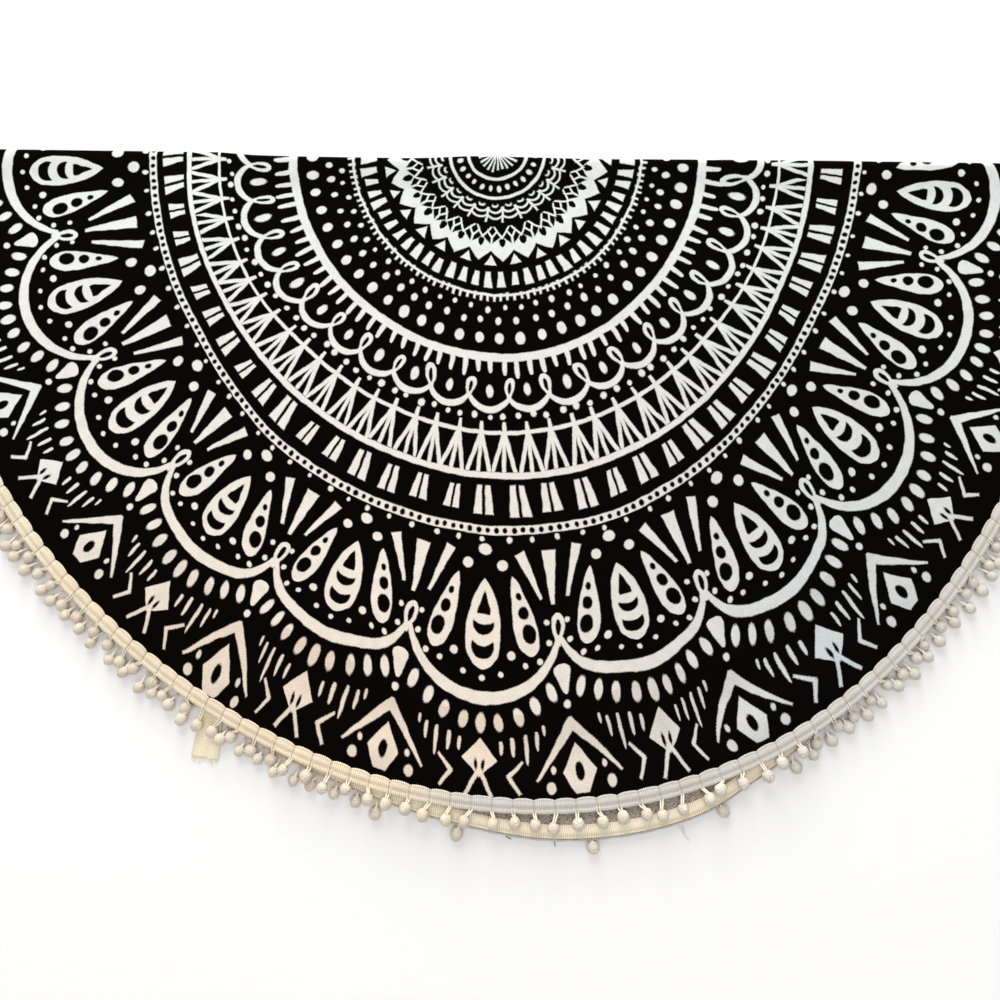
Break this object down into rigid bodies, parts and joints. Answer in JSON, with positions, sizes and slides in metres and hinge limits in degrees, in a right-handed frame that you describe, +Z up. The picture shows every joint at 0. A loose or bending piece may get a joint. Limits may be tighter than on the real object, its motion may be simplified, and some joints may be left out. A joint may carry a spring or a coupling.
{
  "type": "round beach towel",
  "caption": "Round cotton beach towel with a ring-patterned velour face and a pompom braid round its rim, folded in half and lying flat.",
  "frame": {"origin": "on the surface it lies on, under the middle of its bounding box", "axes": "+Z up out of the upper layer's printed face, +X along the fold, +Y towards the fold and away from the curved rim"},
  "size_m": [1.5418, 0.8188, 0.021],
  "materials": {
    "towel_cloth": "black and cream printed cotton velour, looped terry on the reverse",
    "pompom_braid": "cream cotton braid with wound yarn pompoms",
    "edge_tape": "cream cross-ribbed cotton tape"
  },
  "bodies": {
    "root": {"towel_cloth": "towel_cloth", "pompom_braid": "pompom_braid", "edge_tape": "edge_tape"}
  },
  "joints": []
}
